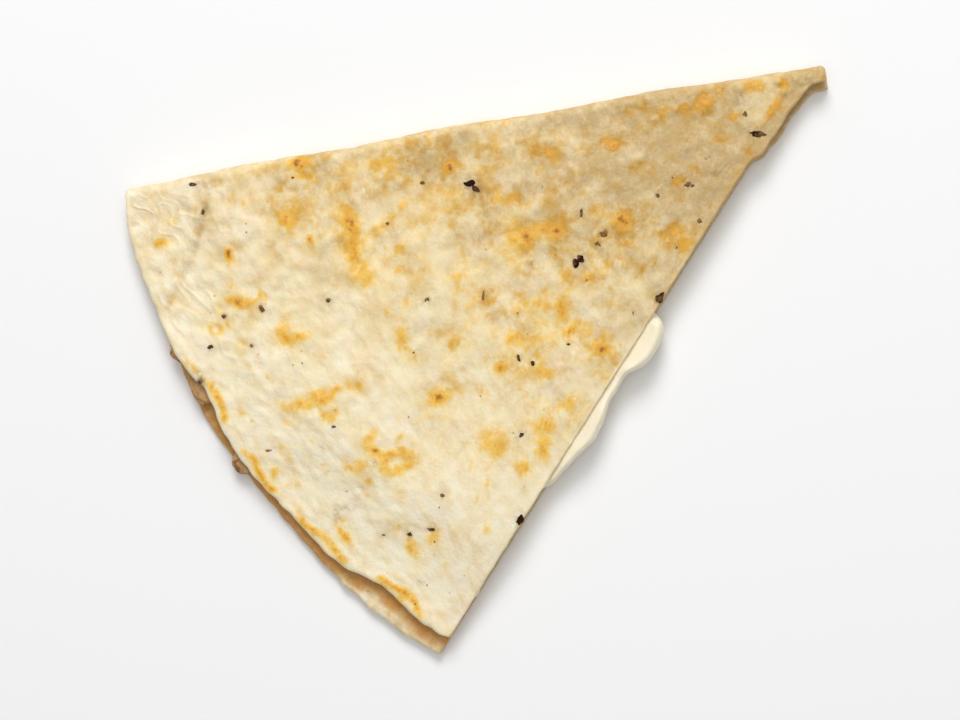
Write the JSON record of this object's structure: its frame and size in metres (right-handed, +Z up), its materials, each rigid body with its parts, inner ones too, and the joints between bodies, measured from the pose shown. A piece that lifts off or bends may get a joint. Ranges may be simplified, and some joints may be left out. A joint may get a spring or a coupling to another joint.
{
  "type": "quesadilla wedge",
  "caption": "Cut wedge of a folded flour tortilla with toasted spots, melted white cheese showing at the cut side and browned filling at the rim.",
  "frame": {"origin": "centre of the bounding box, on the surface that the wedge lies on", "axes": "+Z up, +X along the fold from its rim end towards the tip, +Y from the cut side towards the fold"},
  "size_m": [0.1534, 0.1114, 0.0088],
  "materials": {
    "tortilla": "dry toasted flour tortilla, pale with orange-brown spots",
    "cheese": "melted white cheese, soft gloss",
    "filling": "browned craggy filling"
  },
  "bodies": {
    "root": {"tortilla": "tortilla", "melted_cheese": "cheese", "filling_chunk_1": "filling", "filling_chunk_2": "filling", "filling_chunk_3": "filling"}
  },
  "joints": []
}
